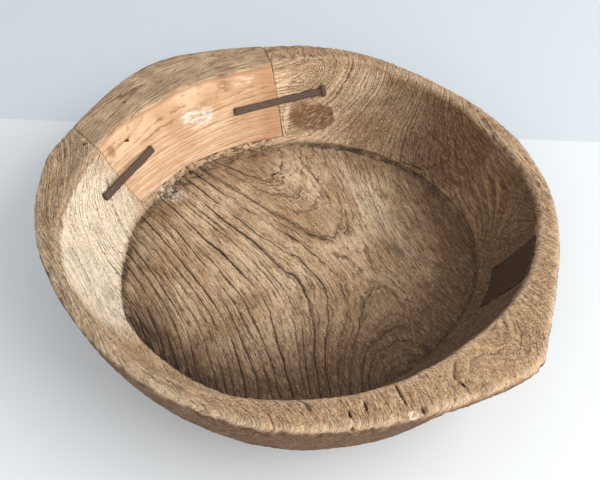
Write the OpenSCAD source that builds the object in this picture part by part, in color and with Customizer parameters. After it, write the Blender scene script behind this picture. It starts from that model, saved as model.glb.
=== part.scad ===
// Carved wooden bowl with a let-in rim patch, two forged iron staples and a sheet-iron wall plate.
// The origin is the middle of the flat base, +Z is up, and the patch is at the back left (+Y, -X).

/* [Bowl] */
// Height from the base to the top of the rim
bowl_height = 100; // [85:1:120]
// Mean radius of the rim's outer edge
rim_outer_radius = 222; // [216:1:240]
// Mean radius of the rim's inner edge
rim_inner_radius = 199; // [190:1:200]
// Mean radius of the flat inside floor
floor_radius = 154; // [146:1:160]
// Thickness of the wood under the floor
floor_thickness = 28; // [22:1:34]
// Radius of the flat base that the bowl stands on
base_radius = 128; // [115:1:135]
// How far the inner wall is hollowed behind a straight line
wall_hollow = 3; // [0:0.5:5]
// Depth of the dish in the floor
floor_dish = 2; // [0:0.5:4]

/* [Patch] */
// Height of the ledge that the patch stands on, above the floor
ledge_height = 8; // [5:1:14]
// Gap left at the patch's joints
joint_gap = 0.2; // [0.1:0.05:0.5]
// Width of the wedge at its foot
wedge_width = 4.5; // [3:0.5:6]
// Height of the wedge
wedge_height = 27; // [18:1:34]

/* [Staples] */
// Thickness of the staples' iron
staple_thickness = 3; // [2:0.5:4]
// Width of the staples' iron
staple_width = 7; // [5:0.5:9]
// Depth that a staple's leg is driven in
leg_depth = 14; // [8:1:16]
// Width of the forged head on the right staple
head_width = 11; // [9:0.5:13]

/* [Plate] */
// Width of the sheet-iron plate round the wall
plate_width = 47.5; // [40:0.5:52]
// Thickness of the plate
plate_thickness = 2; // [1:0.5:3]
// How far the plate stands proud of the wood
plate_proud = 0.7; // [0.3:0.1:1]
// Radius of a plate nail's head
nail_head_radius = 1.7; // [1.2:0.1:2.2]
// Radius of a plate nail's shank
nail_radius = 0.75; // [0.5:0.05:1]
// Length of a plate nail's shank
nail_length = 12; // [8:1:14]

/* [Hidden] */

// Each outline is a list of [angle, distance outside its mean radius].
rim_outer_outline = [[5, -3], [25, -5], [45, -8], [57, -7], [68, -1], [82, 4], [98, 6], [112, 14], [124, 23],
    [133, 20], [145, 12], [155, 9], [164, 10], [174, 5], [186, -1], [203, -9], [220, -12], [232, -11],
    [248, -6], [263, 0], [283, 4], [300, 10], [310, 18], [317, 24], [323, 15], [331, 6], [343, -1]];
rim_inner_outline = [[4, 6], [28, -1], [44, 3], [68, 6], [84, 6], [97, -4], [110, -8], [125, -8],
    [137, -10], [151, -5], [168, -5], [185, 1], [202, 3], [213, 1], [236, 2], [256, 0], [272, -2],
    [291, -3], [312, -5], [335, 1], [350, 3]];
floor_outline = [[2, 3], [14, 6], [39, 3], [68, 1], [91, -3], [113, -7], [130, -5], [150, -6],
    [164, -3], [179, -4], [195, 1], [205, 4], [227, 0], [270, -1], [312, -5], [330, -4], [346, 1]];
// How far the widest part of the side lies inside the rim's outer edge, at each angle.
side_undercut = [[0, 10], [60, 8], [120, 6], [180, 3], [220, 4], [270, 3], [288, 6], [303, 15], [318, 21],
    [332, 18], [346, 12]];

sides = 96;              // facets round the bowl
belly_height = 0.76;     // height of the widest part of the side, as a share of the bowl's height
belly_power = 1.5;       // below 2 the underside is leaner than an ellipse
edge_inset = [[0, 8], [0.6, 3.5], [2, 1.3], [5, 0.3]]; // outer rim edge: [in from outline, down]
inner_edge = [[2.4, 0], [0.6, 0.5], [0, 1.8]];         // inner rim edge: [out from outline, down]
wall_steps = 7;
curve_steps = 8;
groove = [[3.5, 4], [5, 1.5], [3, -1.5], [-2, -0.8]]; // worn groove round the floor: [out, up]
floor_rings = [0.8, 0.45];
floor_height = floor_thickness;
wall_drop = bowl_height - floor_height;
wall_lean = atan((rim_inner_radius - floor_radius) / wall_drop);

// Distance outside the mean radius at any angle, on a smooth curve through an outline's points.
function wrapped(p) = concat([[p[len(p) - 2][0] - 360, p[len(p) - 2][1]],
    [p[len(p) - 1][0] - 360, p[len(p) - 1][1]]], p,
    [[p[0][0] + 360, p[0][1]], [p[1][0] + 360, p[1][1]]]);
function span_of(w, a, i = 1) = a < w[i + 1][0] ? i : span_of(w, a, i + 1);
function slope_at(w, i) = (w[i + 1][1] - w[i - 1][1]) / (w[i + 1][0] - w[i - 1][0]);
function smooth_between(w, i, a) =
    let (h = w[i + 1][0] - w[i][0], s = (a - w[i][0]) / h, s2 = s * s, s3 = s2 * s)
    (2 * s3 - 3 * s2 + 1) * w[i][1] + (s3 - 2 * s2 + s) * h * slope_at(w, i)
    + (3 * s2 - 2 * s3) * w[i + 1][1] + (s3 - s2) * h * slope_at(w, i + 1);
function outline_at(p, angle) =
    let (a = (angle % 360 + 360) % 360, w = wrapped(p)) smooth_between(w, span_of(w, a), a);

function outer_at(a) = rim_outer_radius + outline_at(rim_outer_outline, a);
function inner_at(a) = rim_inner_radius + outline_at(rim_inner_outline, a);
function floor_at(a) = floor_radius + outline_at(floor_outline, a);

// A point on the inner wall: share is 0 at the rim's inner edge and 1 at the floor.
function wall_radius(a, share) =
    inner_at(a) + (floor_at(a) + groove[0][0] - inner_at(a)) * share + 4 * wall_hollow * share * (1 - share);
function wall_height(share) = bowl_height - wall_drop * share;
function spoke(a, r, z) = [r * cos(a), r * sin(a), z];
function wall_point(a, share, depth = 0) =
    spoke(a, wall_radius(a, share) + depth * cos(wall_lean), wall_height(share) - depth * sin(wall_lean));

// The bowl's section at one angle, as [radius, height] from the base's edge over the rim to the floor.
function underside(a) = [for (i = [0 : curve_steps]) let (t = 90 * (1 - i / curve_steps))
    [base_radius + (outer_at(a) - outline_at(side_undercut, a) - base_radius) * pow(cos(t), 2 / belly_power),
     bowl_height * belly_height * (1 - pow(sin(t), 2 / belly_power))]];
function rim_top(a) = concat(
    [for (e = edge_inset) [outer_at(a) - e[0], bowl_height - e[1]]],
    [for (e = inner_edge) [inner_at(a) + e[0], bowl_height - e[1]]]);
function inner_wall(a) = [for (i = [0 : wall_steps - 1]) let (share = 0.07 + 0.87 * i / wall_steps)
    [wall_radius(a, share), wall_height(share)]];
function floor_section(a) = concat(
    [for (g = groove) [floor_at(a) + g[0], floor_height + g[1]]],
    [for (f = floor_rings) [floor_at(a) * f, floor_height - floor_dish * (1 - f * f)]]);
function section(a) = concat(underside(a), rim_top(a), inner_wall(a), floor_section(a));

// The whole bowl before any patch, hole or recess is cut.
module bowl_blank() {
    rings = len(section(0));
    ring_points = [for (i = [0 : sides - 1]) let (a = 360 * i / sides)
        for (p = section(a)) spoke(a, p[0], p[1])];
    base_centre = sides * rings;
    floor_centre = base_centre + 1;
    points = concat(ring_points, [[0, 0, 0], [0, 0, floor_height - floor_dish]]);
    faces = concat(
        [for (i = [0 : sides - 1]) let (n = (i + 1) % sides) for (j = [0 : rings - 2])
            each [[i * rings + j, i * rings + j + 1, n * rings + j + 1],
                  [i * rings + j, n * rings + j + 1, n * rings + j]]],
        [for (i = [0 : sides - 1]) let (n = (i + 1) % sides)
            each [[base_centre, i * rings, n * rings],
                  [floor_centre, (n + 1) * rings - 1, (i + 1) * rings - 1]]]);
    polyhedron(points, faces);
}

// Plan of the let-in patch: two joint lines across the rim, joined inside and outside the bowl.
left_joint = [[-100, 51], [-139, 62], [-183, 74], [-203, 96], [-232, 128]];
right_joint = [[-54, 276], [-33, 216], [-9, 147], [8, 98]];
far_corner = [-230, 270];
ledge_z = floor_height + ledge_height;

module patch_zone(gap = 0) {
    translate([0, 0, ledge_z + gap])
        linear_extrude(bowl_height)
            offset(delta = -gap)
                polygon(concat(left_joint, [far_corner], right_joint));
}

// Sliver driven into the foot of the right joint. It is thinner at its top and at its far end.
wedge_reach = 26;
joint_turn = 19;      // turn of the right joint's line from +Y
wedge_foot = [-9, 147];
wedge_root = 12;      // how far it starts inside the bowl, before it is trimmed to the wall

module wedge_slice(width, gap) {
    linear_extrude(0.1)
        polygon([[-width / 2 - gap, -wedge_root], [width / 2 + gap, -wedge_root],
            [width / 6 + gap, wedge_reach + gap], [-width / 6 - gap, wedge_reach + gap]]);
}

module wedge_zone(gap = 0) {
    translate([wedge_foot[0], wedge_foot[1], ledge_z])
        rotate(joint_turn)
            hull() {
                translate([0, 0, 0.1 - gap]) wedge_slice(wedge_width, gap);
                translate([0, 0, wedge_height + gap]) wedge_slice(wedge_width / 2, gap);
            }
}

// Places its children with +Y from one wall point to another and +X into the wood.
function unit(v) = v / norm(v);
module along_wall(from, to, angle) {
    y = unit(to - from);
    into = spoke(angle, cos(wall_lean), -sin(wall_lean));
    x = unit(into - (into * y) * y);
    z = cross(x, y);
    mid = (from + to) / 2;
    multmatrix([[x[0], y[0], z[0], mid[0]], [x[1], y[1], z[1], mid[1]], [x[2], y[2], z[2], mid[2]],
        [0, 0, 0, 1]])
        children();
}

// A staple's leg: a tapered spike along +X, at distance y along the staple.
leg_width = 3.4;
leg_tip = 1;
module leg(y, grow = 0) {
    translate([0, y, -staple_width / 2 - grow])
        linear_extrude(staple_width + 2 * grow)
            polygon([[-2, -leg_width / 2 - grow], [0.5, -leg_width / 2 - grow],
                [leg_depth + grow, -leg_tip / 2 - grow], [leg_depth + grow, leg_tip / 2 + grow],
                [0.5, leg_width / 2 + grow], [-2, leg_width / 2 + grow]]);
}

// Left staple: a straight bar over the hollow of the wall, with a leg at each end.
left_ends = [wall_point(167, 0.46), wall_point(142, 0.47)];
left_half = norm(left_ends[1] - left_ends[0]) / 2;
left_angle = 154.5;
bar_lift = 0.4;       // gap between the back of a staple's bar and the wood
bar_round = 1.2;

module left_legs(grow = 0) {
    along_wall(left_ends[0], left_ends[1], left_angle)
        for (side = [-1, 1]) leg(side * (left_half - leg_width / 2), grow);
}

module staple_left() {
    color("#4b4340") {
        along_wall(left_ends[0], left_ends[1], left_angle)
            translate([0, 0, -staple_width / 2])
                linear_extrude(staple_width)
                    polygon([[-bar_lift, -left_half], [-bar_lift, left_half],
                        [bar_round - bar_lift - staple_thickness, left_half],
                        [-bar_lift - staple_thickness, left_half - bar_round],
                        [-bar_lift - staple_thickness, bar_round - left_half],
                        [bar_round - bar_lift - staple_thickness, -left_half]]);
        left_legs();
    }
}

// Right staple: a forged spike laid along the hollow wall. Its point is turned into the patch and
// the lower half of its head is let into the bowl.
right_ends = [wall_point(82, 0.39), wall_point(111, 0.49)];
right_half = norm(right_ends[1] - right_ends[0]) / 2;
right_angle = 98;
right_sagitta = 4.6;  // how far the wall falls back at the middle of the spike
shank_steps = 12;
head_thickness = 3.5;
head_height = 7.5;
head_let_in = 3;

module right_leg(grow = 0) {
    along_wall(right_ends[0], right_ends[1], right_angle) leg(right_half - leg_width / 2, grow);
}

module right_head(grow = 0) {
    along_wall(right_ends[0], right_ends[1], right_angle)
        translate([head_let_in - head_height, -right_half - grow, -head_width / 2 - grow])
            cube([head_height + grow, head_thickness + 2 * grow, head_width + 2 * grow]);
}

module right_shank() {
    back = [for (i = [0 : shank_steps]) let (s = 2 * i / shank_steps - 1)
        [right_sagitta * (1 - s * s) - bar_lift, s * right_half]];
    front = [for (i = [0 : shank_steps]) let (p = back[shank_steps - i])
        [p[0] - staple_thickness, p[1]]];
    along_wall(right_ends[0], right_ends[1], right_angle)
        translate([0, 0, -staple_width / 2])
            linear_extrude(staple_width)
                polygon(concat(back, front));
}

module staple_right() {
    color("#4f3a31") {
        right_shank();
        right_leg();
        right_head();
    }
}

// A sheet that follows the inner wall, from depth front to depth back below its surface.
plate_angle = 344;
plate_top = 0.07;
plate_bottom = 0.78;
plate_cells = 6;
plate_fit = 0.2;

function plate_point(u, share, depth, grow) =
    let (r = wall_radius(plate_angle, share), half = plate_width / 2 + grow)
    wall_point(plate_angle + asin(u * half / r), share, depth);

module wall_sheet(front, back, grow = 0) {
    n = plate_cells + 1;
    top = plate_top - grow / wall_drop;
    step = (plate_bottom - plate_top + 2 * grow / wall_drop) / plate_cells;
    points = [for (depth = [front, back]) for (i = [0 : plate_cells]) for (j = [0 : plate_cells])
        plate_point(2 * i / plate_cells - 1, top + j * step, depth, grow)];
    b = n * n;
    quads = concat(
        [for (i = [0 : plate_cells - 1]) for (j = [0 : plate_cells - 1]) let (k = i * n + j)
            each [[k, k + n, k + n + 1, k + 1], [b + k, b + k + 1, b + k + n + 1, b + k + n]]],
        [for (k = [0 : plate_cells - 1]) let (far = plate_cells * n)
            each [[k, k + 1, b + k + 1, b + k], [far + k + 1, far + k, b + far + k, b + far + k + 1],
                [k * n + n, k * n, b + k * n, b + k * n + n],
                [k * n + n - 1, k * n + 2 * n - 1, b + k * n + 2 * n - 1, b + k * n + n - 1]]]);
    polyhedron(points, [for (q = quads) each [[q[0], q[2], q[1]], [q[0], q[3], q[2]]]]);
}

// The plate's nails: four down each side, square to the wall.
nail_rows = [0.13, 0.31, 0.5, 0.71];
nail_column = 0.87;
nail_head_height = 0.8;

module at_nails() {
    for (u = [-nail_column, nail_column]) for (share = nail_rows) {
        p = plate_point(u, share, -plate_proud, 0);
        a = atan2(p[1], p[0]);
        translate(p) rotate([0, 0, a]) rotate([0, 90 + wall_lean, 0]) children();
    }
}

module nail_bores(clearance) {
    at_nails() translate([0, 0, -2]) cylinder(r = nail_radius + clearance, h = nail_length + 2.5, $fn = 24);
}

module plate_nails() {
    color("#33261f") at_nails() {
        translate([0, 0, -nail_head_height])
            cylinder(r1 = nail_head_radius * 0.7, r2 = nail_head_radius, h = nail_head_height, $fn = 24);
        cylinder(r = nail_radius, h = nail_length, $fn = 24);
    }
}

module wall_plate() {
    color("#3b2b22") difference() {
        wall_sheet(-plate_proud, plate_thickness - plate_proud);
        nail_bores(0.05);
    }
}

// A brad driven slantwise through the patch's left end into the bowl.
brad_point = [148, 0.22];
brad_turn = 62;
brad_radius = 0.9;
brad_head_radius = 1.5;
brad_length = 30;

module at_brad() {
    translate(wall_point(brad_point[0], brad_point[1], -0.3))
        rotate([0, 0, brad_point[0] + brad_turn]) rotate([0, 90, 0]) children();
}

module brad_bore(clearance) {
    at_brad() translate([0, 0, -4]) cylinder(r = brad_radius + clearance, h = brad_length + 4.5, $fn = 24);
    at_brad() translate([0, 0, -4]) cylinder(r = brad_head_radius + clearance, h = 4.1, $fn = 24);
}

module joint_nail() {
    color("#5a4a40") at_brad() {
        translate([0, 0, -1]) cylinder(r = brad_head_radius, h = 1, $fn = 24);
        cylinder(r = brad_radius, h = brad_length, $fn = 24);
    }
}

module bowl_body() {
    color("#a98a68") difference() {
        bowl_blank();
        patch_zone();
        wedge_zone(joint_gap);
        left_legs(0.05);
        right_head(0.05);
        wall_sheet(-6, plate_thickness - plate_proud + 0.05, plate_fit);
        nail_bores(0.05);
        brad_bore(0.05);
    }
}

module rim_patch() {
    color("#cf9a5f") difference() {
        intersection() {
            bowl_blank();
            patch_zone(joint_gap);
        }
        wedge_zone(joint_gap);
        left_legs(0.05);
        right_leg(0.05);
        brad_bore(0.05);
    }
}

module joint_wedge() {
    color("#d9b98c") intersection() {
        bowl_blank();
        wedge_zone();
    }
}

bowl_body();
rim_patch();
joint_wedge();
staple_left();
staple_right();
wall_plate();
plate_nails();
joint_nail();
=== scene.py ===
from math import cos, radians, sin

import bmesh
import bpy
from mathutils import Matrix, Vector


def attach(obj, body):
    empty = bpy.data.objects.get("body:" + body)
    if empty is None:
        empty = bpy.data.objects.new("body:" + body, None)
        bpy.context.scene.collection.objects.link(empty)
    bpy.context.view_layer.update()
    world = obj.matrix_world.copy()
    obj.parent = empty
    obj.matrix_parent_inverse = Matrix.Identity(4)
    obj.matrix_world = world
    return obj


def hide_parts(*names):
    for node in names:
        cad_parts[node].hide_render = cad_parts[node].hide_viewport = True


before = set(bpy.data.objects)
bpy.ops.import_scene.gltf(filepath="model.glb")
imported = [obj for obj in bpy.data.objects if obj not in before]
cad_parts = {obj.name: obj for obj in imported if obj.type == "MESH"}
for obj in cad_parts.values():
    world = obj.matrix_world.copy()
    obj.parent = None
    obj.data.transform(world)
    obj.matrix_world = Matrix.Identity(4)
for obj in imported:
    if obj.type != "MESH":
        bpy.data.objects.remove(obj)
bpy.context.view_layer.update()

scene = bpy.context.scene


# The view: a standing person's look down into the bowl, with a lens a little longer than normal.
# The camera is level, in line with the bowl's middle, and tilted down by 47 degrees.
view_place = (0.002, -0.6004, 0.6978)
view_tilt = 46.97
view_lens = 60
camera = bpy.data.objects.new("camera", bpy.data.cameras.new("camera"))
camera.data.lens = view_lens
camera.location = view_place
camera.rotation_euler = (radians(90 - view_tilt), 0, 0)
scene.collection.objects.link(camera)
scene.camera = camera
scene.view_settings.view_transform = "Standard"


# The table: a plain white top under the bowl. Beyond its far edge the ground is a pale blue-grey.
# The edge passes just behind the bowl, a little closer on the right.
table_size = 8.0
table_edge_mm = 210
table_slant = 0.060
table_roughness = 0.55
table_white = (0.74, 0.785, 0.83, 1)
beyond_grey = (0.63, 0.685, 0.74, 1)


def node(tree, kind, inputs=(), out=0, **settings):
    """Adds a node with its settings and inputs, and returns one of its outputs as a Field."""
    made = tree.nodes.new(kind)
    for name, value in settings.items():
        setattr(made, name, value)
    for key, value in inputs.items() if isinstance(inputs, dict) else enumerate(inputs):
        if isinstance(value, Field):
            tree.links.new(value.socket, made.inputs[key])
        else:
            made.inputs[key].default_value = value
    return Field(made.outputs[out])


class Field:
    """A number, vector or colour that varies over a surface. Sums of fields make the nodes."""

    def __init__(self, socket):
        self.socket = socket
        self.tree = socket.id_data

    def math(self, operation, *others):
        return node(self.tree, "ShaderNodeMath", (self, *others), operation=operation)

    def __add__(self, other):
        return self.math("ADD", other)

    def __sub__(self, other):
        return self.math("SUBTRACT", other)

    def __rsub__(self, other):
        return (self * -1) + other

    def __mul__(self, other):
        return self.math("MULTIPLY", other)

    __radd__, __rmul__ = __add__, __mul__

    def rise(self, low, high):
        """Goes smoothly from 0 at low to 1 at high, or from 1 to 0 where low is above high."""
        if low > high:
            return 1 - self.rise(high, low)
        inputs = {"Value": self, "From Min": low, "From Max": high}
        return node(self.tree, "ShaderNodeMapRange", inputs, interpolation_type="SMOOTHSTEP")

    def parts(self):
        """The x, y and z of a place."""
        made = self.tree.nodes.new("ShaderNodeSeparateXYZ")
        self.tree.links.new(self.socket, made.inputs[0])
        return [Field(out) for out in made.outputs]

    def vector(self, operation, other=None, out=0):
        inputs = {0: self} if other is None else {0: self, 1: other}
        return node(self.tree, "ShaderNodeVectorMath", inputs, out, operation=operation)

    def noise(self, size, detail=2.0, roughness=0.5):
        """Cloudy noise from 0 to 1 over a place in mm. The size is that of one cloud."""
        inputs = {"Vector": self, "Scale": 1 / size, "Detail": detail, "Roughness": roughness}
        return node(self.tree, "ShaderNodeTexNoise", inputs)

    def tint(self, low, high):
        """A colour between low, where the field is 0, and high, where it is 1."""
        return node(self.tree, "ShaderNodeMix", {0: self, 6: low, 7: high}, 2, data_type="RGBA")


def place(x, y, z):
    """One place from three parts, of which at least one is a field."""
    tree = next(part.tree for part in (x, y, z) if isinstance(part, Field))
    return node(tree, "ShaderNodeCombineXYZ", (x, y, z))


def new_material(name):
    """A material with one Principled shader, and the place on the piece in mm."""
    made = bpy.data.materials.new(name)
    made.use_nodes = True
    tree = made.node_tree
    shader = tree.nodes["Principled BSDF"]
    here = node(tree, "ShaderNodeTexCoord", (), 3).vector("MULTIPLY", (1000, 1000, 1000))
    return made, shader, here


def plug(shader, **inputs):
    """Sets a shader's sockets by name, with an underscore for a space."""
    for name, value in inputs.items():
        socket = shader.inputs[name.replace("_", " ")]
        if isinstance(value, Field):
            value.tree.links.new(value.socket, socket)
        else:
            socket.default_value = value


table_mesh = bpy.data.meshes.new("table")
shape = bmesh.new()
bmesh.ops.create_grid(shape, x_segments=1, y_segments=1, size=table_size / 2)
shape.to_mesh(table_mesh)
shape.free()
table = bpy.data.objects.new("table", table_mesh)
scene.collection.objects.link(table)
paint, shader, here = new_material("table_white")
x, y, z = here.parts()
beyond = (y + x * table_slant).rise(table_edge_mm, table_edge_mm + 1)
plug(shader, Base_Color=beyond.tint(table_white, beyond_grey), Roughness=table_roughness)
table_mesh.materials.append(paint)


# The light: one wide, soft window on the right, a weaker one behind the viewer, and the pale room.
window_size = {"right_window": 2.6, "front_window": 2.0}
window_place = {"right_window": (1.80, -0.45, 1.05), "front_window": (-0.30, -2.10, 1.00)}
window_power = {"right_window": 70, "front_window": 36}
window_colour = (1.0, 0.957, 0.895)
room_colour = (0.93, 0.97, 1.0, 1)
room_strength = 0.56
for name in window_size:
    window = bpy.data.objects.new(name, bpy.data.lights.new(name, "AREA"))
    window.data.size = window_size[name]
    window.data.energy = window_power[name]
    window.data.color = window_colour
    window.location = window_place[name]
    window.rotation_euler = (-Vector(window_place[name])).to_track_quat("-Z", "Y").to_euler()
    scene.collection.objects.link(window)
scene.world = bpy.data.worlds.new("room")
scene.world.use_nodes = True
room = scene.world.node_tree.nodes["Background"]
room.inputs["Color"].default_value = room_colour
room.inputs["Strength"].default_value = room_strength


# The bowl: one piece of old hardwood hollowed across a log whose pith ran over the floor from the
# back to the front right corner. Its softer wood has worn away, so the rings stand as ridges and
# the drying cracks follow them. It is cut with an adze, then scraped.
rim_height = 100
floor_height = 28
floor_reach = 156
outside_lean = 0.55
outside_foot = 154
log_middle = (41, -2)
log_along = (0.375, -0.927)
pith_height = 75
pith_bow = 40
pith_fall_front = 0.30
pith_fall_back = 0.12
ring_width = 6.8
bowl_voxel = 0.0011
bowl_triangles = 190000


def in_log(here):
    """A place in mm as [across, along, above] the pith of the bowl's log, which lies over the floor."""
    x, y, z = here.parts()
    along = (x - log_middle[0]) * log_along[0] + (y - log_middle[1]) * log_along[1]
    across = (y - log_middle[1]) * log_along[0] - (x - log_middle[0]) * log_along[1]
    reach = (along * along + pith_bow ** 2).math("SQRT") - pith_bow
    fall = along.rise(-30, 30) * (pith_fall_front - pith_fall_back) + pith_fall_back
    lift = z - floor_height
    lean = along.math("ABSOLUTE").rise(60, 200) * lift.math("MAXIMUM", 0) * 0.8
    bend = (along * along * 0.0007 - along * 0.11) * across.rise(50, -30)
    return place(across - lean + bend, along, lift - pith_height + reach * fall)


def new_group(name, kind, inputs, outputs):
    """An empty node group for a shader or for geometry, and its inputs as fields by name."""
    tree = bpy.data.node_groups.new(name, kind)
    for socket, form in inputs.items():
        tree.interface.new_socket(socket, in_out="INPUT", socket_type=form)
    for socket, form in outputs.items():
        tree.interface.new_socket(socket, in_out="OUTPUT", socket_type=form)
    entry = tree.nodes.new("NodeGroupInput")
    return tree, {socket: Field(entry.outputs[socket]) for socket in inputs}


def close_group(tree, **results):
    """Connects fields to a group's outputs by name."""
    leave = tree.nodes.new("NodeGroupOutput")
    for name, result in results.items():
        tree.links.new(result.socket, leave.inputs[name])


def use_group(tree, group, **inputs):
    """Places a group in a tree and returns its outputs as fields by name."""
    made = tree.nodes.new(tree.bl_idname.replace("NodeTree", "NodeGroup"))
    made.node_tree = group
    for name, value in inputs.items():
        if isinstance(value, Field):
            tree.links.new(value.socket, made.inputs[name])
        else:
            made.inputs[name].default_value = value
    return {out.name: Field(out) for out in made.outputs}


NUMBER, VECTOR = "NodeSocketFloat", "NodeSocketVector"


def wood_rings(kind):
    """Growth rings round a pith, for a place as [across, along, above] it and a ring's width in mm.

    Cracks gape along some of the rings, and Stain is the dark wood beside them. Tone goes from 0 to 1
    over each ring. Lines are fine dark lines within the rings, and Ridges is the hard wood between
    them. Comb and Fibre are coarse and fine streaks along the grain, and Pores are its open vessels.
    """
    tree, given = new_group("wood_rings", kind,
                            {"Place": VECTOR, "Ring": NUMBER, "Crack": NUMBER, "Wander": NUMBER},
                            {"Cracks": NUMBER, "Stain": NUMBER, "Lines": NUMBER, "Tone": NUMBER,
                             "Ridges": NUMBER, "Comb": NUMBER, "Fibre": NUMBER, "Pores": NUMBER})
    across, along, above = given["Place"].parts()
    drawn = place(across, along * 0.3, above)

    # The rings waver on four scales, and are unevenly wide.
    wander = ((drawn.noise(90, 1) - 0.5) * 30 + (drawn.noise(22, 1) - 0.5) * 5
              + (drawn.noise(5, 2) - 0.5) * 1.8 + (given["Place"].noise(1.8, 2) - 0.5) * 0.9)
    depth = (across * across + above * above).math("SQRT") + wander * given["Wander"]
    uneven = depth + (place(depth, 0, 0).noise(19, 2) - 0.5) * 22
    turns = uneven.math("DIVIDE", given["Ring"])
    nearest = turns.math("ROUND")
    edge = (turns - nearest).math("ABSOLUTE") * given["Ring"]

    # Each ring is open over some stretches of its length, where its crack gapes raggedly.
    open_here = place(nearest * 37, along, 0).noise(60, 2, 0.6) + (given["Crack"] - 1) * 0.4
    gape = open_here.rise(0.40, 0.80)
    ragged = place(across, along * 0.6, above).noise(1.6, 2, 0.6) * 1.7
    cracks = (edge - gape * ragged * 0.30).rise(0.32, 0.0) * gape.rise(0.0, 0.25)
    stain = edge.rise(2.4, 0.3) * gape * place(across, along * 0.3, above).noise(4, 2).rise(0.3, 0.6)

    # Fine lines lie fine_width apart, and break off along their length.
    fine_width = 2.1
    fine = (uneven + (drawn.noise(3, 1) - 0.5) * 1.4).math("DIVIDE", fine_width)
    fine_edge = (fine - fine.math("ROUND")).math("ABSOLUTE")
    unbroken = place(fine.math("ROUND") * 11, along, 0).noise(18, 3, 0.6).rise(0.37, 0.60)
    lines = fine_edge.rise(0.22, 0.02) * unbroken
    standing = place(fine.math("FLOOR") * 7, along, 0).noise(14, 2).rise(0.35, 0.6)
    ridges = fine_edge.rise(0.25, 0.48) * standing

    # Streaks are noise that is drawn out along the grain.
    comb = place(across, along * 0.07, above * 0.8).noise(1.8, 3, 0.6)
    fibre = place(across, along * 0.10, above).noise(0.9, 3, 0.7)
    pores = place(across, along * 0.30, above).noise(1.15, 1).rise(0.60, 0.70)
    close_group(tree, Cracks=cracks, Stain=stain, Lines=lines, Tone=turns.math("FRACT"), Ridges=ridges,
                Comb=comb, Fibre=fibre, Pores=pores)
    return tree


def split(kind):
    """A single crack on a straight line between two places, ragged and closing at both ends."""
    tree, given = new_group("split", kind,
                            {"Place": VECTOR, "Start": VECTOR, "End": VECTOR, "Width": NUMBER},
                            {"Crack": NUMBER})
    here = given["Place"]
    jog = (here.noise(4, 2) - 0.5) * 2.4
    run = given["End"].vector("SUBTRACT", given["Start"])
    from_start = here.vector("SUBTRACT", given["Start"])
    share = from_start.vector("DOT_PRODUCT", run, 1).math("DIVIDE", run.vector("DOT_PRODUCT", run, 1))
    share = share.math("MAXIMUM", 0).math("MINIMUM", 1)
    on_line = run.vector("MULTIPLY", place(share, share, share))
    gap = from_start.vector("SUBTRACT", on_line).vector("LENGTH", None, 1) + jog * 0.4
    closing = share * (1 - share) * 4
    half = given["Width"] * 0.5 * (closing.math("SQRT") + 0.15)
    close_group(tree, Crack=1 - (gap - half).rise(-0.25, 0.35))
    return tree


rings_in = {kind: wood_rings(kind) for kind in ("ShaderNodeTree", "GeometryNodeTree")}
split_in = {kind: split(kind) for kind in ("ShaderNodeTree", "GeometryNodeTree")}


def split_at(here, start, end, width):
    """One crack from start to end as a mask, with all of its measures in mm."""
    group = split_in[here.tree.bl_idname]
    return use_group(here.tree, group, Place=here, Start=start, End=end, Width=width)["Crack"]


# Cracks straight across the rim: the bearing in degrees, how far out each starts and ends, how far it
# falls over the outer edge, and its width and depth. All but the bearing are in mm.
rim_cracks = [
    (-80, 209, 235, 6, 2.0, 5),
    (-76.5, 205, 227, 5, 2.2, 5),
    (-69, 195, 224, 2, 1.8, 5),
    (-66.5, 221, 235, 2, 2.6, 4),
    (-34, 190, 195, 0, 2.0, 3),
    (153.5, 218, 233, 2, 2.5, 4),
    (153, 203, 212, 0, 1.2, 3),
    (158, 204, 209, 0, 4.0, 5),
]
# Cracks that turn, as the points that each runs through, with its width and depth: at the back of the
# rim, three at the front right corner, one on the floor and one that climbs the right wall.
turning_cracks = [
    ([(-42, 219, 99), (-26, 217, 100)], 3.0, 4),
    ([(116, -164, 100), (114, -180, 100)], 2.2, 2),
    ([(114, -177, 100), (124, -192, 98)], 2.0, 2),
    ([(126, -175, 100), (128, -162, 100), (137, -157, 100), (147, -157, 100)], 1.7, 1),
    ([(-5, 150, 28), (25, 93, 27), (32, 74, 27)], 1.1, 2),
    ([(100, 126, 33), (122, 110, 36), (135, 109, 46), (142, 103, 54), (140, 115, 60), (123, 138, 65)],
     1.1, 1),
]


def crack_legs():
    """Every straight leg of the bowl's cracks, as start, end, width and depth in mm."""
    for bearing, start, end, drop, width, deep in rim_cracks:
        outward = Vector((cos(radians(bearing)), sin(radians(bearing)), 0))
        top, edge = Vector((0, 0, rim_height)), Vector((0, 0, rim_height - drop))
        yield outward * start + top, outward * end + edge, width, deep
    for points, width, deep in turning_cracks:
        for start, end in zip(points, points[1:]):
            yield start, end, width, deep


def splits(here):
    """All of the bowl's single cracks as one mask, and their depth in mm."""
    mask, depth = None, None
    for start, end, width, deep in crack_legs():
        crack = split_at(here, start, end, width)
        mask = crack if mask is None else mask.math("MAXIMUM", crack)
        depth = crack * deep if depth is None else depth.math("MAXIMUM", crack * deep)
    return mask, depth


def from_axis(here):
    """How far out from the bowl's upright axis a place is, in mm."""
    x, y, z = here.parts()
    return (x * x + y * y).math("SQRT")


def bowl_zones(here):
    """Where the bowl's floor, rim and outside are, as masks. The outside holds on the patch as well."""
    z = here.parts()[2]
    out = from_axis(here)
    floor = z.rise(36, 31) * out.rise(floor_reach + 6, floor_reach) * z.rise(20, 24)
    top = z.rise(93, 98)
    outer_wall = (out - z * outside_lean).rise(outside_foot, outside_foot + 8)
    outside = outer_wall.math("MAXIMUM", z.rise(24, 20)) * z.rise(98, 92)
    return floor, top, outside


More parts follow.
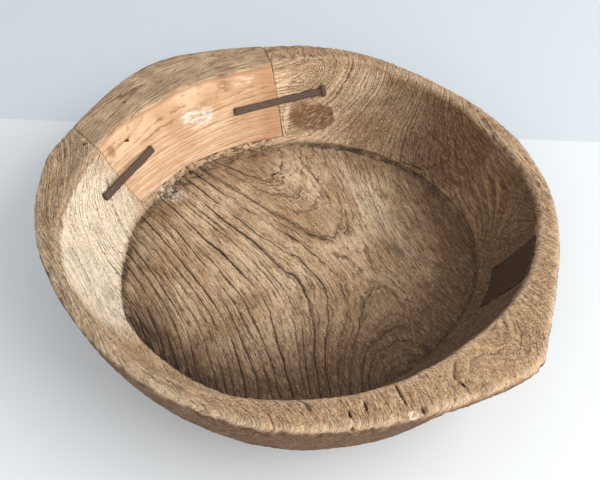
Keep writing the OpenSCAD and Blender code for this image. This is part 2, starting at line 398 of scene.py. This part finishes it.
# Marks on the bowl: the middle of each, and its reach along x, y and z, in mm.
bowl_marks = {
    "sound_floor": ((46, 0, 28), (30, 34, 20)),
    "rotted_corner": ((160, -150, 100), (16, 10, 20)),
    "smooth_corner": ((136, -163, 100), (44, 32, 20)),
    "torn_strip": ((-84, 116, 32), (82, 64, 14)),
    "ridged_wall": ((45, 190, 75), (62, 30, 40)),
    "scraped_wall": ((-170, -22, 62), (62, 108, 70)),
    "shaded_wall": ((128, 140, 62), (110, 70, 60)),
    "fan_grain": ((172, 36, 56), (42, 48, 34)),
    "knot": ((12, 170, 53), (25, 15, 17)),
    "blackened_rim": ((-180, -112, 97), (42, 62, 14)),
    "chipped_rim": ((82, -210, 98), (5, 4, 4)),
    "chipped_ledge": ((-122, 84, 31), (22, 12, 9)),
    "sooty_floor": ((-125, -82, 27), (26, 70, 20)),
    # Painted shadow on the floor's right side.
    "painted_shadow_floor": ((118, 86, 27), (36, 60, 20)),
    # Painted shade in the groove at the floor's edge, on the left and at the front.
    "groove_shade_left": ((-105, -98, 27), (66, 84, 30)),
    "groove_shade_front": ((96, -112, 27), (58, 44, 30)),
}


def spot(here, middle, reach):
    """A mark with a soft, uneven edge, 1 at its middle, with its reach along x, y and z in mm."""
    from_middle = here.vector("SUBTRACT", middle).vector("DIVIDE", reach)
    return (from_middle.vector("LENGTH", None, 1) + (here.noise(9, 2) - 0.5) * 0.5).rise(1.1, 0.6)


def bowl_mark(here, name):
    """One of the bowl's marks as a mask."""
    return spot(here, *bowl_marks[name])


def bowl_wood_at(here):
    """The bowl's rings and cracks at a place. The floor's left half has the strongest cracks."""
    floor = bowl_zones(here)[0]
    log = in_log(here)
    across = log.parts()[0]
    cracked = floor * across.rise(90, -20) * 0.74 + 0.42 - bowl_mark(here, "sound_floor") * 0.6
    return use_group(here.tree, rings_in[here.tree.bl_idname], Place=log, Ring=ring_width,
                     Crack=cracked, Wander=1.0)


def rotted(here):
    """The corner's soft patch of end grain, eaten into small pits."""
    return bowl_mark(here, "rotted_corner") * here.noise(2.0, 3).rise(0.50, 0.66)


def torn_strip(here):
    """The rough strip of the bowl's own wood under the foot of the patch."""
    strip = bowl_mark(here, "torn_strip") * from_axis(here).rise(142, 150)
    return strip * here.noise(5, 3, 0.6).rise(0.46, 0.60)


def bowl_relief(here):
    """How far the bowl's worn surface lies above its carved surface, in mm. The base stays flat."""
    x, y, z = here.parts()
    floor, top, outside = bowl_zones(here)
    wood = bowl_wood_at(here)
    depth = splits(here)[1]
    wall = (1 - floor) * (1 - top)
    waves = (here.noise(34, 1) - 0.5) * 1.8 + (here.noise(9, 2) - 0.5) * (1.1 - floor * 0.6)
    adze_side = (x + y * 0.5).rise(-20, 60)
    adzed = (place(x * 0.5, y * 0.5, z).noise(7, 2, 0.6) - 0.5) * 1.8 * wall * adze_side
    fretted = (here.noise(4.5, 2) - 0.5) * top - rotted(here) * 1.2 - torn_strip(here) * 1.6
    chips = here.noise(12, 3).rise(0.50, 0.64) * outside * z.rise(78, 88) * 1.8
    ridged = wall * (bowl_mark(here, "ridged_wall") * 0.4 + 0.15)
    grain = ((wood["Tone"] - 0.5) * 0.4 + wood["Ridges"] * ridged + (wood["Fibre"] - 0.5) * 0.6
             + (wood["Comb"] - 0.5) * (1.6 - floor) - wood["Lines"] * 0.35 - wood["Cracks"] * 1.1)
    return (waves + adzed + fretted + grain - chips - depth) * z.rise(0.5, 3)


def field_modifier(piece, name, build):
    """Adds a geometry modifier, with nodes made by build(tree, geometry), which returns a geometry."""
    tree = bpy.data.node_groups.new(name, "GeometryNodeTree")
    tree.interface.new_socket("Geometry", in_out="INPUT", socket_type="NodeSocketGeometry")
    tree.interface.new_socket("Geometry", in_out="OUTPUT", socket_type="NodeSocketGeometry")
    entry, leave = tree.nodes.new("NodeGroupInput"), tree.nodes.new("NodeGroupOutput")
    tree.links.new(build(tree, Field(entry.outputs[0])).socket, leave.inputs[0])
    piece.modifiers.new(name, "NODES").node_group = tree


def blurred(tree, position, rounds):
    """A vector field averaged over its neighbours on the mesh."""
    inputs = {"Value": position, "Iterations": rounds}
    return node(tree, "GeometryNodeBlurAttribute", inputs, data_type="FLOAT_VECTOR")


def round_off(rounds):
    """Softens the edges of a mesh."""
    def build(tree, geometry):
        position = node(tree, "GeometryNodeInputPosition")
        return node(tree, "GeometryNodeSetPosition",
                    {"Geometry": geometry, "Position": blurred(tree, position, rounds)})
    return build


def raise_by(relief):
    """Moves a mesh's points outwards by relief(here), in mm."""
    def build(tree, geometry):
        here = node(tree, "GeometryNodeInputPosition").vector("MULTIPLY", (1000, 1000, 1000))
        normal = node(tree, "GeometryNodeInputNormal")
        lift = relief(here) * 0.001
        offset = normal.vector("MULTIPLY", place(lift, lift, lift))
        return node(tree, "GeometryNodeSetPosition", {"Geometry": geometry, "Offset": offset})
    return build


def mark_shade_and_wear(reach, rounds):
    """Stores how hollow or sharp every point is: 0 in a hollow, 0.5 on a flat and 1 on an edge.
    Materials paint shade in the hollows and rub the edges with it. Reach is in metres.
    """
    def build(tree, geometry):
        position = node(tree, "GeometryNodeInputPosition")
        normal = node(tree, "GeometryNodeInputNormal")
        inwards = blurred(tree, position, rounds).vector("SUBTRACT", position)
        hollow = inwards.vector("DOT_PRODUCT", normal, 1)
        shade_and_wear = 0.5 - hollow * (0.5 / reach)
        return node(tree, "GeometryNodeStoreNamedAttribute",
                    {"Geometry": geometry, "Name": "shade_and_wear", "Value": shade_and_wear}, data_type="FLOAT")
    return build


def as_it_stands(piece):
    """A new mesh of a piece with its modifiers applied."""
    return bpy.data.meshes.new_from_object(piece.evaluated_get(bpy.context.evaluated_depsgraph_get()))


def triangles_of(mesh):
    return sum(len(face.vertices) - 2 for face in mesh.polygons)


weld_distance = 0.000005


def work_over(name, relief, voxel, rounds, triangles, shade_and_wear_reach, shade_and_wear_rounds):
    """A finely meshed copy of a CAD piece, with its edges rounded and its surface worked.

    The voxel and the reach of the measure of hollows and edges are in metres. The finished piece has at
    most so many triangles.
    """
    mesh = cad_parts[name].data.copy()
    shape = bmesh.new()
    shape.from_mesh(mesh)
    bmesh.ops.remove_doubles(shape, verts=shape.verts, dist=weld_distance)
    shape.to_mesh(mesh)
    shape.free()
    mesh.materials.clear()
    rough = bpy.data.objects.new(name + "_worked", mesh)
    scene.collection.objects.link(rough)
    remesh = rough.modifiers.new("remesh", "REMESH")
    remesh.mode = "VOXEL"
    remesh.voxel_size = voxel
    field_modifier(rough, "round_off", round_off(rounds))
    field_modifier(rough, "relief", raise_by(relief))
    worked = as_it_stands(rough)
    bpy.data.objects.remove(rough)
    piece = bpy.data.objects.new(name + "_worked", worked)
    scene.collection.objects.link(piece)
    count = triangles_of(worked)
    if count > triangles:
        piece.modifiers.new("thin", "DECIMATE").ratio = triangles / count
    field_modifier(piece, "shade_and_wear", mark_shade_and_wear(shade_and_wear_reach, shade_and_wear_rounds))
    finished = as_it_stands(piece)
    piece.modifiers.clear()
    piece.data = finished
    finished.name = name + "_worked"
    finished.shade_smooth()
    print(name, "triangles", triangles_of(finished))
    return piece


bowl = work_over("bowl_body", bowl_relief, voxel=bowl_voxel, rounds=1, triangles=bowl_triangles,
                 shade_and_wear_reach=0.0012, shade_and_wear_rounds=8)

straw = (0.80, 0.57, 0.36, 1)
tan = (0.49, 0.30, 0.155, 1)
umber = (0.108, 0.046, 0.015, 1)
bleached = (0.95, 0.84, 0.68, 1)
grey = (0.33, 0.25, 0.165, 1)
cream = (0.88, 0.74, 0.55, 1)
# Cream and umber as painted in shade, for the grain's light and dark.
shaded_cream = (0.36, 0.205, 0.095, 1)
shaded_umber = (0.030, 0.012, 0.004, 1)
dark_line = (0.055, 0.024, 0.009, 1)
crack_brown = (0.032, 0.014, 0.006, 1)
soot = (0.022, 0.010, 0.005, 1)
fan_gold = (0.46, 0.28, 0.135, 1)
chip_pale = (0.90, 0.80, 0.70, 1)
filler_pale = (0.78, 0.60, 0.42, 1)
knot_brown = (0.165, 0.070, 0.024, 1)
fan_middle = (170, -8, 32)
# Where the painted band of light crosses the floor, and its width, in mm.
lit_band_start, lit_band_end, lit_band_width = (30, 152, 27), (120, -30, 27), 20.0
filler_start, filler_end, filler_width = (-7, 183, 72), (-15, 157, 33), 5.0
wood_roughness = 0.74
bump_distance = 0.001

bowl_wood, shader, here = new_material("weathered_wood")
tree = bowl_wood.node_tree
floor, top, outside = bowl_zones(here)
x, y, z = here.parts()
out = from_axis(here)
wood = bowl_wood_at(here)
single_cracks = splits(here)[0]
shade_and_wear = node(tree, "ShaderNodeAttribute", (), "Fac", attribute_name="shade_and_wear")
rim = (top + outside).math("MINIMUM", 1)
inner_wall = (1 - floor) * (1 - rim)

# Bare wood: straw and tan in clouds, scraped pale on the left wall, and grey on the weathered rim.
blotch = here.noise(44, 3).rise(0.32, 0.7) + rim * 0.85
colour = blotch.tint(straw, tan)
scraped = bowl_mark(here, "scraped_wall") * inner_wall
colour = (scraped * 0.85).tint(colour, bleached)
weathered = rim * x.rise(40, -120) * here.noise(16, 3).rise(0.3, 0.65)
colour = (weathered * 0.6).tint(colour, grey)
blackened = bowl_mark(here, "blackened_rim") * rim * wood["Comb"].rise(0.44, 0.60)
colour = (blackened * 0.55).tint(colour, dark_line)

# Painted shade with some grime: the wood is painted darker on the right, on the shaded back wall, at
# the front and edge of the floor and on the outside, with some soot and dark blotches. A painted band
# of light crosses the floor, and a painted shadow lies on its right.
shaded_side = (x * 0.9 - y * 0.35).rise(10, 140)
shaded_back = bowl_mark(here, "shaded_wall") * inner_wall
sooty = bowl_mark(here, "sooty_floor") * floor
floor_edge = out.rise(112, 152)
painted_shade_and_grime = (floor * (y.rise(-30, -125) * 0.6 + shaded_side * 0.8) + inner_wall * shaded_side * 0.9
         + floor * floor_edge * 0.35 + shaded_back * 0.5 + outside * 0.88 + sooty * 0.3
         + here.noise(25, 4).rise(0.52, 0.75) * 0.3).math("MINIMUM", 0.93)
# A painted band of light across the floor.
painted_light_and_rubbing = split_at(here, lit_band_start, lit_band_end, lit_band_width) * here.noise(20, 2).rise(0.3, 0.6) * floor
colour = (painted_light_and_rubbing * 0.35).tint(colour, cream)
# A painted shadow on the floor's right side.
colour = (bowl_mark(here, "painted_shadow_floor") * floor * 0.35).tint(colour, umber)
# Painted shade, with some soot and blotches, turns the wood to umber, and the grain's colours darken
# with it.
colour = painted_shade_and_grime.tint(colour, umber)
deep = painted_shade_and_grime.tint(umber, shaded_umber)
light = painted_shade_and_grime.tint(cream, shaded_cream)

# Grain: rings and fibres, dark in the hollows and light on the ridges, with flecks, pores and lines.
grained = wood["Tone"] * 0.22 + wood["Stain"] * 0.55 + wood["Fibre"].rise(0.42, 0.75) * 0.42
colour = (grained * (1 - scraped * 0.4)).tint(colour, deep)
combed = wood["Comb"].rise(0.50, 0.68) * (0.5 + painted_shade_and_grime * 0.25)
colour = (combed * (1 - scraped * 0.5)).tint(colour, deep)
ridged = inner_wall * (bowl_mark(here, "ridged_wall") * 0.35 + 0.1)
light_fibre = (wood["Fibre"].rise(0.45, 0.2) * 0.3 + wood["Comb"].rise(0.48, 0.30) * 0.3
               + wood["Ridges"] * ridged)
colour = (light_fibre * (1 + painted_shade_and_grime * 0.6) * (1 - outside * 0.55)).tint(colour, light)
fleck = here.noise(1.2, 2, 0.7)
colour = (fleck.rise(0.52, 0.68) * 0.4).tint(colour, deep)
colour = (fleck.rise(0.47, 0.32) * 0.3).tint(colour, light)
pitted = here.noise(2.4, 1).rise(0.60, 0.70)
colour = (wood["Pores"] * 0.5 + pitted * rim * 0.2).tint(colour, dark_line)
corner = bowl_mark(here, "smooth_corner")
colour = (wood["Lines"] * (rim * 0.15 + 0.7) * (1 - corner * 0.75)).tint(colour, dark_line)
colour = (wood["Cracks"] * 0.9).tint(colour, crack_brown)

# Marks: a fan of grain over the plate, chips, a line of filler by the patch, the knot and the rot.
fan_x, fan_y, fan_z = here.vector("SUBTRACT", fan_middle).parts()
fan = place(fan_z.math("ARCTAN2", fan_y) * 34, fan_x * 0.05, 0).noise(1.6, 2).rise(0.44, 0.64)
fan = fan * bowl_mark(here, "fan_grain") * inner_wall
colour = (fan * 0.38).tint(colour, fan_gold)
chipped = bowl_mark(here, "chipped_ledge") + bowl_mark(here, "chipped_rim")
chipped = chipped * here.noise(3, 3, 0.7).rise(0.42, 0.58)
colour = (chipped * 0.6).tint(colour, chip_pale)
filler = split_at(here, filler_start, filler_end, filler_width)
colour = (filler * 0.45).tint(colour, filler_pale)
knot = bowl_mark(here, "knot")
streaks = place(x * 0.4, y * 0.4, z - x * 0.4).noise(1.8, 2)
colour = (knot.rise(0.0, 1.0) * (streaks.rise(0.3, 0.6) * 0.5 + 0.48)).tint(colour, knot_brown)
knot_edge = knot.rise(0.0, 0.4) * knot.rise(0.9, 0.5) * x.rise(12, 26)
colour = (knot_edge * 0.7).tint(colour, umber)
colour = (rotted(here) * 0.55 + torn_strip(here) * 0.6).tint(colour, umber)

# Soot in the single cracks, and painted shade in the groove round the floor and in hollows. Edges are
# rubbed.
colour = single_cracks.tint(colour, soot)
# Painted shade in the groove at the floor's edge, streaked along the grain.
groove_shade = bowl_mark(here, "groove_shade_left") + bowl_mark(here, "groove_shade_front") * 0.7
groove_shade = groove_shade * out.rise(140, 155) * floor * (wood["Comb"].rise(0.42, 0.56) * 0.75 + 0.25)
colour = (groove_shade * 0.9).tint(colour, soot)
# Painted shade in the hollows.
in_corner = here.noise(14, 3).rise(0.35, 0.6) * 0.6 + 0.3
in_corner = in_corner * (1 - shaded_side * 0.5) * (1 - y.rise(80, 130) * x.rise(20, 0) * 0.6)
colour = (shade_and_wear.rise(0.42, 0.0) * in_corner).tint(colour, soot)
colour = (shade_and_wear.rise(0.65, 0.95) * 0.15).tint(colour, light)

height = (wood["Fibre"] * 0.35 + wood["Comb"] * 0.7 - wood["Lines"] * 0.4 * (1 - corner * 0.7)
          - wood["Cracks"] * 0.9 - single_cracks - wood["Pores"] * 0.25 + fan * 0.5
          + wood["Ridges"] * ridged * 0.6 - fleck * 0.3 + here.noise(2.6, 3, 0.7) * 0.7
          - pitted * rim * 0.2)
bump = node(tree, "ShaderNodeBump", {"Strength": 1.0, "Distance": bump_distance, "Height": height})
plug(shader, Base_Color=colour, Roughness=wood_roughness, Normal=bump)
bowl.data.materials.append(bowl_wood)
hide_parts("bowl_body")
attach(bowl, "root")


# The patch: a length of sound, close-grained wood let into the broken rim. Its grain runs along the
# wall round a small knot, and its inside is still smooth and polished, while its top is weathered.
patch_knot = (-76, 167, 76)
patch_along = (0.88, 0.475)
patch_pith_out = 40
patch_ring = 5.2
patch_voxel = 0.0009
honey = (0.70, 0.475, 0.30, 1)
amber = (0.46, 0.25, 0.12, 1)
walnut = (0.19, 0.08, 0.03, 1)
# The white of the painted sheen.
sheen_white = (0.95, 0.89, 0.84, 1)
light_ash = (0.56, 0.395, 0.25, 1)
dark_ash = (0.40, 0.275, 0.17, 1)
arris_brown = (0.30, 0.13, 0.05, 1)
small_knot_middle, small_knot_reach = (-92, 151, 69), (7, 6, 3)
shake_start, shake_end, shake_width = (-48, 175, 75), (-22, 184, 75), 0.8
# Marks on the patch: two spots of painted sheen, and the stain round the brad.
patch_marks = {
    "wide_sheen": ((-98, 148, 70), (24, 16, 11)),
    "high_sheen": ((-54, 180, 90), (14, 9, 6)),
    "brad_stain": ((-169, 80, 87), (6, 6, 7)),
}


def in_plank(here):
    """A place in mm as [across, along, outward from] the pith of the patch's plank."""
    x, y, z = here.parts()
    along = (x - patch_knot[0]) * patch_along[0] + (y - patch_knot[1]) * patch_along[1]
    outward = (y - patch_knot[1]) * patch_along[0] - (x - patch_knot[0]) * patch_along[1]
    outward = outward - patch_pith_out + along * along * 0.0026
    return place(z - patch_knot[2] + along * 0.10, along, outward)


def patch_wood_at(here):
    """The patch's rings and fibres at a place. It has hardly any cracks."""
    return use_group(here.tree, rings_in[here.tree.bl_idname], Place=in_plank(here), Ring=patch_ring,
                     Crack=0.18, Wander=0.6)


def patch_relief(here):
    """The patch's inside is smooth, and its top is combed and worn along the grain."""
    top = here.parts()[2].rise(95, 99)
    wood = patch_wood_at(here)
    waves = (here.noise(30, 1) - 0.5) * 1.4 + (here.noise(8, 1) - 0.5) * 0.3
    return waves - wood["Lines"] * (top * 0.35 + 0.05) + (wood["Fibre"] - 0.5) * 0.4 * top


patch = work_over("rim_patch", patch_relief, voxel=patch_voxel, rounds=4, triangles=90000,
                  shade_and_wear_reach=0.001, shade_and_wear_rounds=8)
patch_wood, shader, here = new_material("patch_wood")
tree = patch_wood.node_tree
x, y, z = here.parts()
arris = z.rise(94.5, 96.5) * z.rise(98.6, 97.2)
outside = bowl_zones(here)[2]
weathered = z.rise(96.8, 98.6).math("MAXIMUM", outside)
wood = patch_wood_at(here)
shade_and_wear = node(tree, "ShaderNodeAttribute", (), "Fac", attribute_name="shade_and_wear")

# The polished inside: honey to amber, with walnut lines, a small knot, a painted white sheen of
# reflected light and a fine shake.
colour = (here.noise(38, 2).rise(0.3, 0.7) * 0.7 + x.rise(-75, -25) * 0.75).tint(honey, amber)
banded = wood["Tone"].rise(0.30, 1.0) * 0.55 + wood["Tone"].rise(0.86, 0.97) * 0.2
colour = banded.tint(colour, amber)
colour = (wood["Lines"] * 0.7 + wood["Cracks"] * 0.6 + wood["Stain"] * 0.35).tint(colour, walnut)
colour = (wood["Fibre"].rise(0.45, 0.8) * 0.25 + wood["Comb"].rise(0.5, 0.7) * 0.2).tint(colour, walnut)
from_knot = here.vector("SUBTRACT", small_knot_middle).vector("DIVIDE", small_knot_reach)
from_knot = from_knot.vector("LENGTH", None, 1)
colour = (from_knot.rise(0.55, 0.8) * from_knot.rise(1.2, 0.9) * 0.7).tint(colour, walnut)
# A painted sheen: white reflected light on the polish, streaked along the grain.
painted_sheen = spot(here, *patch_marks["wide_sheen"]) + spot(here, *patch_marks["high_sheen"]) * 0.6
painted_sheen = painted_sheen * place(x * 0.5, y * 0.5, z * 1.5).noise(5, 4, 0.7).rise(0.40, 0.68)
colour = (painted_sheen * 0.75).tint(colour, sheen_white)
shake = split_at(here, shake_start, shake_end, shake_width)
colour = (shake * 0.85).tint(colour, soot)
colour = (spot(here, *patch_marks["brad_stain"]) * 0.5).tint(colour, umber)
colour = (arris * 0.5).tint(colour, arris_brown)

# The weathered top and outside: ash grey, with dark lines and fibres.
ashen = here.noise(20, 3).rise(0.35, 0.6).tint(light_ash, dark_ash)
ashen = (wood["Lines"] * 0.6 + wood["Fibre"].rise(0.42, 0.7) * 0.4
         + wood["Comb"].rise(0.46, 0.70) * 0.4).tint(ashen, umber)
ashen = (outside * 0.4).tint(ashen, umber)
colour = weathered.tint(colour, ashen)
# Painted shade in the hollows.
colour = (shade_and_wear.rise(0.4, 0.0) * 0.7).tint(colour, soot)
roughness = weathered * 0.34 + here.noise(12, 3).rise(0.35, 0.65) * 0.14 + 0.34
height = (wood["Fibre"] * 0.08 - wood["Lines"] * 0.10 - shake * 0.5
          + weathered * (wood["Fibre"] * 0.4 + wood["Comb"] * 0.8 - wood["Lines"] * 0.4))
bump = node(tree, "ShaderNodeBump", {"Strength": 1.0, "Distance": bump_distance, "Height": height})
plug(shader, Base_Color=colour, Roughness=roughness, Normal=bump)
patch.data.materials.append(patch_wood)
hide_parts("rim_patch")
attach(patch, "root")


# The wedge: a pale split sliver tapped into the foot of the patch's right joint to tighten it.
wedge_pale = (0.66, 0.48, 0.29, 1)
wedge_brown = (0.36, 0.21, 0.11, 1)


def split_faces(here):
    """The small steps of a split face, in mm."""
    return (here.noise(2, 2) - 0.5) * 0.25


wedge = work_over("joint_wedge", split_faces, voxel=0.0004, rounds=2, triangles=20000,
                  shade_and_wear_reach=0.0004, shade_and_wear_rounds=4)
wedge_wood, shader, here = new_material("wedge_wood")
x, y, z = here.parts()
streak = place(x * 3, y * 3, z * 0.4).noise(2.5, 3)
colour = streak.rise(0.35, 0.7).tint(wedge_pale, wedge_brown)
bump = node(wedge_wood.node_tree, "ShaderNodeBump", {"Distance": 0.0003, "Height": streak})
plug(shader, Base_Color=colour, Roughness=0.7, Normal=bump)
wedge.data.materials.append(wedge_wood)
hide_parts("joint_wedge")
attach(wedge, "root")


# The staples: two flat bars forged by hand from scrap iron. The left one is bent square and driven
# across the joint, and the right one is a headed spike laid over the joint and turned in at its end.
iron_brown = (0.072, 0.044, 0.034, 1)
iron_rust = (0.105, 0.052, 0.032, 1)
iron_rubbed = (0.30, 0.21, 0.17, 1)
iron_bump = 0.00018


def rusted(kind):
    """Old iron: where it has rusted, where it is bare from rubbing, and how its surface is pitted."""
    tree, given = new_group("rusted", kind, {"Place": VECTOR, "Wear": NUMBER},
                            {"Rust": NUMBER, "Rubbed": NUMBER, "Pits": NUMBER})
    here = given["Place"]
    rust = (here.noise(6, 4, 0.65) + (here.noise(1.2, 2) - 0.5) * 0.35).rise(0.42, 0.62)
    painted_light_and_rubbing = given["Wear"].rise(0.6, 0.9) * here.noise(3, 2).rise(0.35, 0.6)
    pits = here.noise(1.1, 3, 0.7)
    close_group(tree, Rust=rust, Rubbed=painted_light_and_rubbing, Pits=pits)
    return tree


rust_group = rusted("ShaderNodeTree")


def old_iron(name, bare, rust, bright, metallic):
    """A material of old iron: where it is bare, where it has rusted, and where it is rubbed bright."""
    made, shader, here = new_material(name)
    tree = made.node_tree
    shade_and_wear = node(tree, "ShaderNodeAttribute", (), "Fac", attribute_name="shade_and_wear")
    worn = use_group(tree, rust_group, Place=here, Wear=shade_and_wear)
    colour = worn["Rust"].tint(bare, rust)
    colour = (worn["Rubbed"] * 0.7).tint(colour, bright)
    # Painted shade in the hollows.
    colour = (shade_and_wear.rise(0.4, 0.1) * 0.6).tint(colour, soot)
    bump = node(tree, "ShaderNodeBump", {"Distance": iron_bump, "Height": worn["Pits"]})
    roughness = worn["Rust"] * 0.22 + 0.46 - worn["Rubbed"] * 0.12
    plug(shader, Base_Color=colour, Roughness=roughness, Metallic=metallic, Normal=bump)
    return made


def forged(here):
    """Hammer marks and rust scale on a bar, in mm above its flat faces."""
    return (here.noise(7, 1) - 0.5) * 1.3 + (here.noise(1.6, 2) - 0.5) * 0.3


staple_iron = old_iron("forged_iron", iron_brown, iron_rust, iron_rubbed, metallic=0.35)
for name in ("staple_left", "staple_right"):
    staple = work_over(name, forged, voxel=0.00045, rounds=7, triangles=40000,
                       shade_and_wear_reach=0.0006, shade_and_wear_rounds=6)
    staple.data.materials.append(staple_iron)
    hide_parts(name)
    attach(staple, "root")


# The plate: a piece of sheet iron, nearly square, beaten to the curve of the wall and let in flush
# over a split. It has rusted to a dull dark brown.
sheet_brown = (0.036, 0.017, 0.009, 1)
sheet_rust = (0.056, 0.026, 0.013, 1)
sheet_rubbed = (0.16, 0.10, 0.07, 1)


def beaten(here):
    """The shallow dents of beaten sheet, in mm."""
    return (here.noise(12, 2) - 0.5) * 0.5


plate = work_over("wall_plate", beaten, voxel=0.0006, rounds=2, triangles=40000,
                  shade_and_wear_reach=0.0005, shade_and_wear_rounds=5)
sheet_iron = old_iron("sheet_iron", sheet_brown, sheet_rust, sheet_rubbed, metallic=0.05)
plate.data.materials.append(sheet_iron)
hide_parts("wall_plate")
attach(plate, "root")


# The nails: small forged tacks down the plate's sides, and one brad through the patch's left end.
nail_brown = (0.030, 0.019, 0.014, 1)
nail_rust = (0.060, 0.032, 0.020, 1)
nail_rubbed = (0.22, 0.18, 0.15, 1)


def hammered(here):
    """The dents of a hammered nail head, in mm."""
    return (here.noise(1.5, 1) - 0.5) * 0.3


nail_iron = old_iron("nail_iron", nail_brown, nail_rust, nail_rubbed, metallic=0.3)
for name in ("plate_nails", "joint_nail"):
    nails = work_over(name, hammered, voxel=0.0003, rounds=1, triangles=40000,
                      shade_and_wear_reach=0.0003, shade_and_wear_rounds=4)
    nails.data.materials.append(nail_iron)
    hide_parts(name)
    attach(nails, "root")
